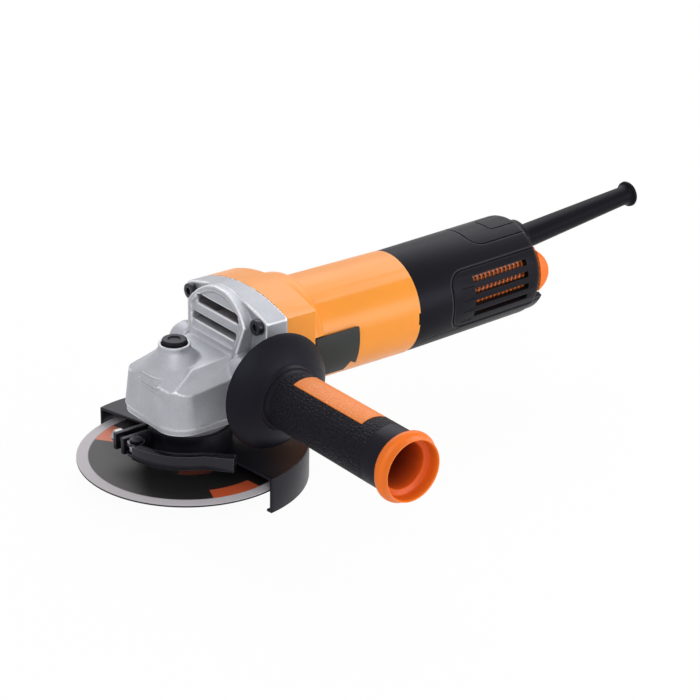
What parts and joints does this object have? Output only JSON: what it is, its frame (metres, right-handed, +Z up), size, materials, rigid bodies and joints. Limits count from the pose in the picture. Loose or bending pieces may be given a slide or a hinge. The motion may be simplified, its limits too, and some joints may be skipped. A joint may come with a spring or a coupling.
{
  "type": "angle grinder",
  "caption": "Angle grinder with a side handle, a swivelling wheel guard and a thin cutting wheel; slide switch, spindle lock button and bevel gear drive.",
  "frame": {"origin": "centre of the wheel seat, on the spindle axis where the wheel's upper face meets the inner flange", "axes": "+X towards the cord, along the motor, +Y away from the side handle, +Z up the spindle into the gear case; the side handle stands out along -Y"},
  "size_m": [0.3632, 0.2174, 0.0972],
  "materials": {
    "cast_aluminium": "satin, as cast",
    "steel": "turned",
    "gear_steel": "hardened, dark",
    "bearing_steel": "ground",
    "bronze": "sintered bronze",
    "black_screws": "black oxide",
    "zinc_screws": "zinc plated",
    "laminated_steel": "stacked sheets",
    "copper": "enamelled wire",
    "brass": "pressed sheet",
    "carbon": "pressed graphite",
    "guard_paint": "satin black",
    "lever_paint": "semi-gloss black",
    "abrasive": "resin-bonded grit",
    "orange_plastic": "satin glass-filled nylon",
    "cap_orange": "satin",
    "filter_orange": "satin",
    "black_plastic": "fine texture",
    "button_plastic": "satin",
    "knob_plastic": "satin",
    "soft_grip": "fine pebble",
    "cord_rubber": "smooth"
  },
  "bodies": {
    "housing": {"gear_case": "cast_aluminium", "gear_case_screws": "black_screws", "bearing_cover": "cast_aluminium", "bearing_cover_screws": "zinc_screws", "bearing_retainer": "steel", "spindle_bush": "bronze", "spindle_bearing_outer": "bearing_steel", "front_bearing_outer": "bearing_steel", "front_bearing_plate": "steel", "bearing_plate_screws": "black_screws", "rear_bearing_outer": "bearing_steel", "air_baffle": "black_plastic", "motor_housing": "orange_plastic", "stator_core": "laminated_steel", "field_coils": "copper", "brush_holders": "brass", "carbon_brushes": "carbon", "brush_springs": "bearing_steel", "tail_cover": "black_plastic", "tail_screw": "black_screws", "intake_filters": "filter_orange", "switch_body": "black_plastic", "cord_clamp": "black_plastic", "cord_clamp_screws": "black_screws", "cord_guard": "cord_rubber", "lock_spring": "steel", "handle_stud": "steel", "handle_core": "black_plastic", "handle_grip": "soft_grip", "handle_inlay": "cap_orange", "handle_cap": "cap_orange"},
    "spindle_group": {"spindle": "steel", "crown_gear": "gear_steel", "spindle_bearing_inner": "bearing_steel", "wheel_flange": "steel", "clamp_nut": "steel", "cutting_wheel": "abrasive"},
    "armature": {"armature_shaft": "steel", "pinion": "gear_steel", "front_bearing_inner": "bearing_steel", "cooling_fan": "black_plastic", "armature_core": "laminated_steel", "armature_windings": "copper", "commutator": "copper", "rear_bearing_inner": "bearing_steel"},
    "spindle_balls": {"spindle_bearing_balls": "bearing_steel"},
    "front_balls": {"front_bearing_balls": "bearing_steel"},
    "rear_balls": {"rear_bearing_balls": "bearing_steel"},
    "lock": {"lock_button": "button_plastic", "lock_pin": "steel"},
    "switch_slide": {"switch_knob": "knob_plastic", "switch_rod": "knob_plastic"},
    "guard": {"guard_shell": "guard_paint", "guard_band": "guard_paint", "clamp_link": "steel", "lever_pin": "steel"},
    "lever": {"clamp_lever": "lever_paint"}
  },
  "joints": [
    {"name": "spindle_spin", "type": "hinge", "parent": "housing", "child": "spindle_group", "pos_m": [0, 0, 0], "axis": [0, 0, 1], "continuous": true},
    {"name": "armature_spin", "type": "hinge", "parent": "housing", "child": "armature", "pos_m": [0, 0, 0.0517], "axis": [1, 0, 0], "continuous": true},
    {"name": "spindle_balls_spin", "type": "hinge", "parent": "housing", "child": "spindle_balls", "pos_m": [0, 0, 0], "axis": [0, 0, 1], "continuous": true},
    {"name": "front_balls_spin", "type": "hinge", "parent": "housing", "child": "front_balls", "pos_m": [0, 0, 0.0517], "axis": [1, 0, 0], "continuous": true},
    {"name": "rear_balls_spin", "type": "hinge", "parent": "housing", "child": "rear_balls", "pos_m": [0, 0, 0.0517], "axis": [1, 0, 0], "continuous": true},
    {"name": "lock_press", "type": "slide", "parent": "housing", "child": "lock", "axis": [0, 0, -1], "range_m": [0, 0.0045], "stiffness_N_per_m": 700, "springref_m": -0.003, "deforming": ["lock_spring"]},
    {"name": "switch_slide", "type": "slide", "parent": "housing", "child": "switch_slide", "axis": [-1, 0, 0], "range_m": [0, 0.006]},
    {"name": "guard_swivel", "type": "hinge", "parent": "housing", "child": "guard", "pos_m": [0, 0, 0], "axis": [0, 0, 1], "range_deg": [-60, 60]},
    {"name": "lever_turn", "type": "hinge", "parent": "guard", "child": "lever", "pos_m": [-0.033, -0.0015, 0], "axis": [0, 0, 1], "range_deg": [-75, 0]}
  ],
  "couplings": [
    {"joint": "armature_spin", "follows": "spindle_spin", "ratio": 3.7},
    {"joint": "spindle_balls_spin", "follows": "spindle_spin", "ratio": 0.38605},
    {"joint": "front_balls_spin", "follows": "spindle_spin", "ratio": 1.4377},
    {"joint": "rear_balls_spin", "follows": "spindle_spin", "ratio": 1.4687}
  ]
}
